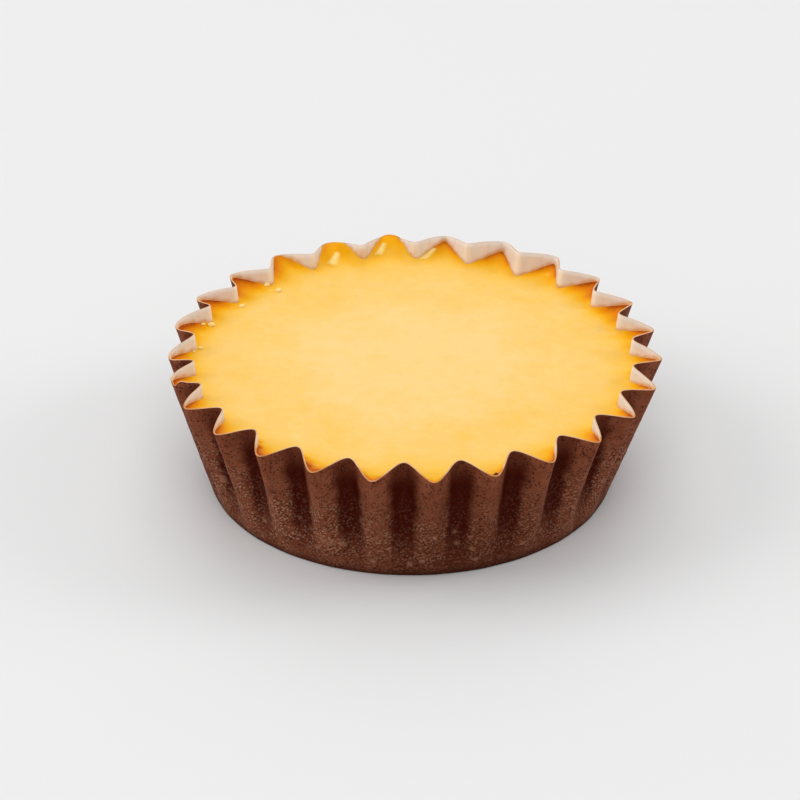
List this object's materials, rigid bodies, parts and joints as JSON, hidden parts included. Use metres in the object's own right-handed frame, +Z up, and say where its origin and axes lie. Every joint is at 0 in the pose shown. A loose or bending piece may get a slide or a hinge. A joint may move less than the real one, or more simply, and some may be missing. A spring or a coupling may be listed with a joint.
{
  "type": "cheese tart",
  "caption": "Round baked cheese tart in a deep fluted paper case, with a flat pale top and browned edges in the flutes.",
  "frame": {"origin": "middle of the paper case's flat underside", "axes": "+Z up, out of the middle of the filling's top; the overflow of the filling is towards +Y"},
  "size_m": [0.0761, 0.0771, 0.0223],
  "materials": {
    "paper": "matte",
    "filling": "satin"
  },
  "bodies": {
    "root": {"paper_case": "paper", "cheese_filling": "filling"}
  },
  "joints": []
}
